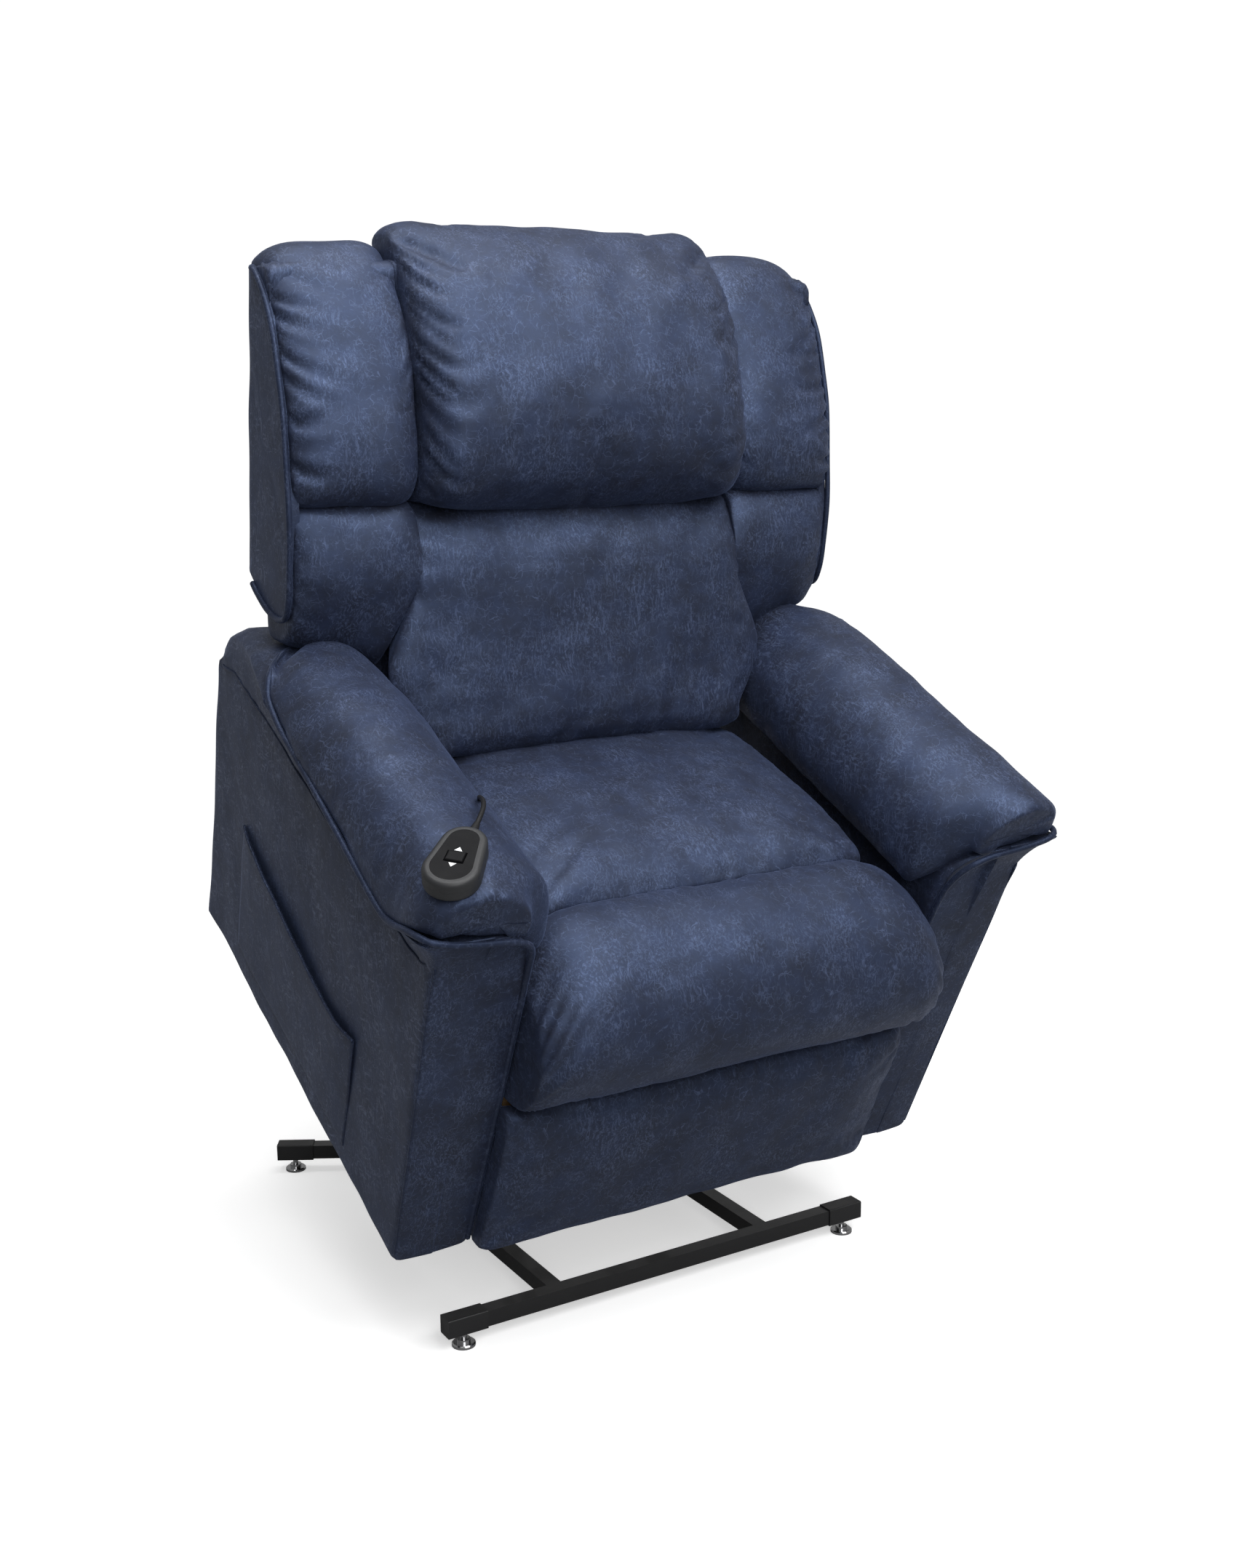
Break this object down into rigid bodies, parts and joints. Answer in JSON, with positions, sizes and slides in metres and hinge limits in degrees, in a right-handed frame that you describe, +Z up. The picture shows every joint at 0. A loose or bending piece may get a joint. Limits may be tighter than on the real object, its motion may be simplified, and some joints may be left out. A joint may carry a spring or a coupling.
{
  "type": "lift recliner chair",
  "caption": "Upholstered lift recliner chair on a steel lift base with levelling glides, pillow back, padded arms, side pocket, folding legrest and corded handset, shown fully raised.",
  "frame": {"origin": "centre of the chair's bounding box on the floor, in the fully raised pose", "axes": "+X to the sitter's left across the chair, +Y towards the back, +Z up"},
  "size_m": [0.948, 0.9764, 1.4674],
  "materials": {
    "black_steel": "semi-gloss",
    "black_plastic": "satin",
    "glide_chrome": "polished",
    "zinc_steel": "satin",
    "pine": "matt",
    "navy_fabric": "soft microfibre",
    "handset_grey": "satin",
    "face_grey": "satin",
    "rubber_black": "satin"
  },
  "bodies": {
    "base": {"base_cross_tubes": "black_steel", "base_rails": "black_steel", "base_outriggers": "black_steel", "base_end_caps": "black_plastic", "levelling_glides": "glide_chrome", "lift_posts_rear": "black_steel", "lift_posts_front": "black_steel", "actuator_base_bracket": "black_steel"},
    "upper_links": {"upper_lift_links": "black_steel", "torsion_tube": "black_steel", "actuator_head_arms": "black_steel"},
    "lower_links": {"lower_lift_links": "black_steel"},
    "actuator_body": {"actuator_gearbox": "black_plastic", "actuator_motor": "black_plastic", "actuator_tube": "zinc_steel"},
    "actuator_rod": {"actuator_rod": "zinc_steel"},
    "chassis": {"chassis_side_plates": "black_steel", "lower_link_pins": "black_steel", "chassis_cross_tubes": "black_steel", "lift_link_hangers": "black_steel", "seat_side_rails": "pine", "seat_cross_rails": "pine", "seat_springs": "zinc_steel", "seat_cushion": "navy_fabric", "seat_front_roll": "navy_fabric", "arm_brackets": "black_steel", "control_box": "black_plastic", "left_arm_outer_panel": "navy_fabric", "left_arm_inner_panels": "navy_fabric", "right_arm_outer_panel": "navy_fabric", "right_arm_inner_panels": "navy_fabric", "arm_pad_left": "navy_fabric", "arm_pad_right": "navy_fabric", "side_pocket": "navy_fabric", "seat_hinge_plates": "black_steel", "legrest_pivot_pins": "zinc_steel", "handset_bottom_shell": "handset_grey", "handset_top_shell": "handset_grey", "handset_face_plate": "face_grey", "handset_strain_relief": "rubber_black", "handset_cord": "rubber_black", "handset_socket": "black_plastic"},
    "back": {"back_side_panels": "navy_fabric", "back_rear_panel": "navy_fabric", "back_lower_panel": "navy_fabric", "back_posts": "pine", "back_cross_rails": "pine", "lumbar_cushion": "navy_fabric", "head_pillow": "navy_fabric", "head_bolster_left": "navy_fabric", "head_bolster_right": "navy_fabric", "back_wing_left": "navy_fabric", "back_wing_right": "navy_fabric", "back_hinge_plates": "black_steel"},
    "legrest_rear_links": {"legrest_rear_links": "black_steel"},
    "legrest_front_links": {"legrest_front_links": "black_steel"},
    "legrest_panel": {"legrest_board": "pine", "legrest_pad": "navy_fabric", "legrest_brackets": "black_steel"},
    "handset_rocker": {"handset_rocker": "face_grey"}
  },
  "joints": [
    {"name": "lift", "type": "hinge", "parent": "base", "child": "upper_links", "pos_m": [0, 0.387, 0.29756], "axis": [1, 0, 0], "range_deg": [0, 26.63]},
    {"name": "chassis_tilt", "type": "hinge", "parent": "upper_links", "child": "chassis", "pos_m": [0, -0.03097, 0.28055], "axis": [-1, 0, 0], "range_deg": [0, 50.74]},
    {"name": "lower_link_swing", "type": "hinge", "parent": "base", "child": "lower_links", "pos_m": [0, 0.1217, 0.22432], "axis": [1, 0, 0], "range_deg": [0, 38.83]},
    {"name": "actuator_swing", "type": "hinge", "parent": "base", "child": "actuator_body", "pos_m": [0, 0.387, 0.082], "axis": [1, 0, 0], "range_deg": [0, 12.9]},
    {"name": "actuator_extend", "type": "slide", "parent": "actuator_body", "child": "actuator_rod", "axis": [0, 0.6033, -0.7975], "range_m": [0, 0.06892]},
    {"name": "recline", "type": "hinge", "parent": "chassis", "child": "back", "pos_m": [0, 0.20013, 0.6578], "axis": [-1, 0, 0], "range_deg": [0, 35]},
    {"name": "legrest_swing", "type": "hinge", "parent": "chassis", "child": "legrest_rear_links", "pos_m": [0, -0.13582, 0.3925], "axis": [-1, 0, 0], "range_deg": [0, 91.89]},
    {"name": "legrest_elbow", "type": "hinge", "parent": "legrest_rear_links", "child": "legrest_front_links", "pos_m": [0, -0.07408, 0.20226], "axis": [1, 0, 0], "range_deg": [0, 116.19]},
    {"name": "legrest_panel_turn", "type": "hinge", "parent": "legrest_front_links", "child": "legrest_panel", "pos_m": [0, -0.24567, 0.30501], "axis": [-1, 0, 0], "range_deg": [0, 114.31]},
    {"name": "handset_rocker", "type": "hinge", "parent": "chassis", "child": "handset_rocker", "pos_m": [-0.42554, -0.45309, 0.73403], "axis": [0.7235, -0.6781, -0.1291], "range_deg": [-6, 6], "stiffness_Nm_per_rad": 0.25}
  ],
  "couplings": [
    {"joint": "chassis_tilt", "follows": "lift", "ratio": 1.9049},
    {"joint": "lower_link_swing", "follows": "lift", "ratio": 1.4579},
    {"joint": "actuator_swing", "follows": "lift", "ratio": 0.4841},
    {"joint": "actuator_extend", "follows": "lift", "m_per_rad": 0.14826},
    {"joint": "legrest_swing", "follows": "recline", "ratio": 2.6253},
    {"joint": "legrest_elbow", "follows": "recline", "ratio": 3.3196},
    {"joint": "legrest_panel_turn", "follows": "recline", "ratio": 3.2658}
  ]
}
